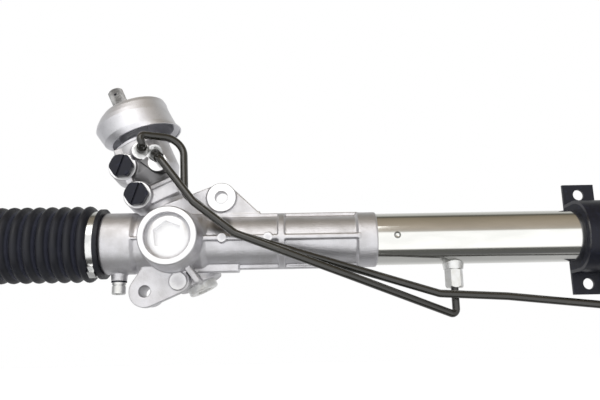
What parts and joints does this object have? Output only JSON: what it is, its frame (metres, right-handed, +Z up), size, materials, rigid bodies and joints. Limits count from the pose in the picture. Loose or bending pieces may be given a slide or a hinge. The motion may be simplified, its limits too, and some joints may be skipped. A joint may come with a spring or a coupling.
{
  "type": "power steering rack",
  "caption": "Hydraulic rack-and-pinion steering gear: cast housing with valve tower and bell cover, steel cylinder tube, pipes, rubber bellows and jointed tie rods.",
  "frame": {"origin": "back mouth of the upper mounting bore, on the face that bolts to the carrier", "axes": "+X along the rack from the pinion end to the cylinder end, +Y away from the viewer towards the carrier, +Z up"},
  "size_m": [1.153, 0.0982, 0.234],
  "materials": {
    "cast_aluminium": "satin, as cast",
    "turned_aluminium": "satin, turned",
    "zinc_steel": "zinc plated",
    "drawn_tube": "smooth, clear plated",
    "dark_line": "satin olive black",
    "ground_steel": "ground",
    "forged_steel": "forged, oiled",
    "black_plastic": "matt",
    "seal_rubber": "matt",
    "bellows_rubber": "satin",
    "white_plastic": "matt",
    "black_steel": "satin"
  },
  "bodies": {
    "housing": {"gear_housing": "cast_aluminium", "bell_cover": "turned_aluminium", "shaft_seal": "seal_rubber", "upper_port_plug": "black_plastic", "lower_port_plug": "black_plastic", "yoke_plug": "zinc_steel", "yoke_springs": "ground_steel", "support_yoke": "white_plastic", "bottom_plug": "zinc_steel", "vent_plug": "black_plastic", "vent_washer": "seal_rubber", "bearing_outer_race": "ground_steel", "bearing_balls": "ground_steel", "needle_bush": "ground_steel", "cylinder_tube": "drawn_tube", "left_weld_boss": "zinc_steel", "right_weld_boss": "zinc_steel", "left_port_nut": "zinc_steel", "right_port_nut": "zinc_steel", "seal_carrier": "turned_aluminium", "inner_rack_seal": "seal_rubber", "outer_rack_seal": "seal_rubber", "outer_rack_bush": "turned_aluminium", "tube_retainer": "ground_steel", "return_line": "dark_line", "feed_line": "dark_line", "return_line_nut": "zinc_steel", "feed_line_nut": "zinc_steel", "left_bellows": "bellows_rubber", "right_bellows": "bellows_rubber", "left_band_clamp": "zinc_steel", "right_band_clamp": "zinc_steel", "mount_rubber": "seal_rubber", "mount_saddle": "black_steel"},
    "pinion": {"pinion": "ground_steel", "valve_sleeve": "ground_steel", "sleeve_seal_rings": "white_plastic", "bearing_inner_race": "ground_steel", "torsion_bar": "ground_steel"},
    "input_shaft": {"input_shaft": "ground_steel", "torsion_bar_pin": "ground_steel"},
    "rack": {"rack_bar": "ground_steel", "piston": "ground_steel", "piston_ring": "white_plastic", "piston_clips": "ground_steel", "left_socket": "forged_steel", "right_socket": "forged_steel"},
    "left_seat": {"left_ball_seat": "white_plastic"},
    "right_seat": {"right_ball_seat": "white_plastic"},
    "left_tie_rod": {"left_tie_rod": "forged_steel", "left_jam_nut": "zinc_steel", "left_small_clamp": "zinc_steel"},
    "right_tie_rod": {"right_tie_rod": "forged_steel", "right_jam_nut": "zinc_steel", "right_small_clamp": "zinc_steel"}
  },
  "joints": [
    {"name": "rack_slide", "type": "slide", "parent": "housing", "child": "rack", "axis": [1, 0, 0], "range_m": [-0.072, 0.072], "deforming": ["left_bellows", "right_bellows"]},
    {"name": "pinion_turn", "type": "hinge", "parent": "housing", "child": "pinion", "pos_m": [-0.0379, 0.0125, -0.0413], "axis": [-0.421, 0, 0.907], "range_deg": [-469, 469]},
    {"name": "torsion_bar_twist", "type": "hinge", "parent": "pinion", "child": "input_shaft", "pos_m": [-0.06316, 0.0125, 0.01312], "axis": [-0.421, 0, 0.907], "range_deg": [-4, 4], "stiffness_Nm_per_rad": 48},
    {"name": "left_rod_swing", "type": "hinge", "parent": "rack", "child": "left_seat", "pos_m": [-0.1709, -0.0045, -0.0413], "axis": [0, 1, 0], "range_deg": [-15, 15]},
    {"name": "left_rod_sweep", "type": "hinge", "parent": "left_seat", "child": "left_tie_rod", "pos_m": [-0.1709, -0.0045, -0.0413], "axis": [0, 0, 1], "range_deg": [-8, 8]},
    {"name": "right_rod_swing", "type": "hinge", "parent": "rack", "child": "right_seat", "pos_m": [0.5021, -0.0045, -0.0413], "axis": [0, 1, 0], "range_deg": [-15, 15]},
    {"name": "right_rod_sweep", "type": "hinge", "parent": "right_seat", "child": "right_tie_rod", "pos_m": [0.5021, -0.0045, -0.0413], "axis": [0, 0, 1], "range_deg": [-8, 8]}
  ],
  "couplings": [
    {"joint": "pinion_turn", "follows": "rack_slide", "rad_per_m": 113.38}
  ]
}
